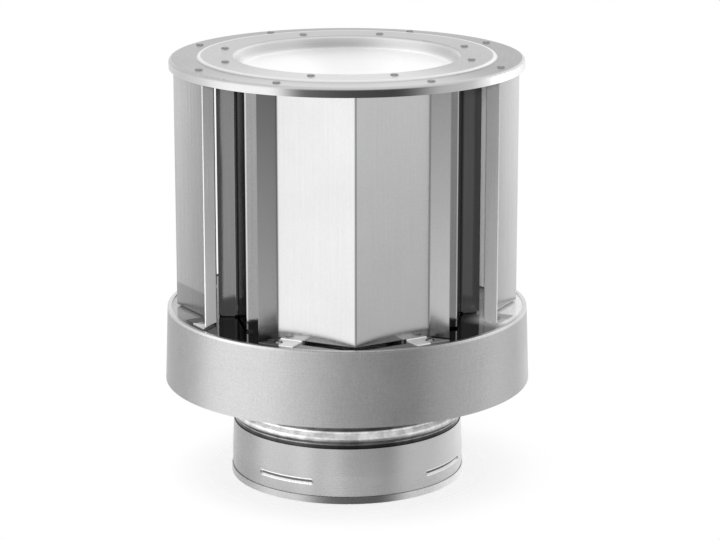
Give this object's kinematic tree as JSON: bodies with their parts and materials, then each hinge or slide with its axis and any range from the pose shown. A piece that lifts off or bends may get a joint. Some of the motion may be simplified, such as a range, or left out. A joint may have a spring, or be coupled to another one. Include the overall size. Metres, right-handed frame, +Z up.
{
  "type": "direct vent termination cap",
  "caption": "Round sheet-metal flue cap: sunk lid on staggered V-folded vanes, skirted base drum and a beaded neck with a locking socket collar.",
  "frame": {"origin": "centre of the collar's mouth, in the plane of its hem", "axes": "+Z up along the flue's axis, -Y through the front vane, +X to its right"},
  "size_m": [0.2676, 0.2676, 0.3124],
  "materials": {
    "cap_sheet": "bright galvanised sheet, satin",
    "plate_sheet": "bright galvanised sheet, near mirror",
    "pipe_sheet": "galvanised sheet, satin",
    "bracket_sheet": "galvanised strip, dull",
    "rivet_metal": "plain, satin"
  },
  "bodies": {
    "root": {"lid": "cap_sheet", "drum_band": "cap_sheet", "outer_vane_front": "cap_sheet", "outer_vane_right": "cap_sheet", "outer_vane_back": "cap_sheet", "outer_vane_left": "cap_sheet", "inner_vane_front_right": "cap_sheet", "inner_vane_back_right": "cap_sheet", "inner_vane_back_left": "cap_sheet", "inner_vane_front_left": "cap_sheet", "base_plate": "plate_sheet", "flue_flange": "plate_sheet", "collar": "pipe_sheet", "neck_tube": "pipe_sheet", "flue_pipe": "pipe_sheet", "neck_bracket_back_right": "bracket_sheet", "neck_bracket_back_left": "bracket_sheet", "neck_bracket_front_left": "bracket_sheet", "neck_bracket_front_right": "bracket_sheet", "pipe_spacer_back_right": "bracket_sheet", "pipe_spacer_back_left": "bracket_sheet", "pipe_spacer_front_left": "bracket_sheet", "pipe_spacer_front_right": "bracket_sheet", "rivets_lid_outer": "rivet_metal", "rivets_lid_inner": "rivet_metal", "rivets_plate_outer": "rivet_metal", "rivets_plate_inner": "rivet_metal"}
  },
  "joints": []
}
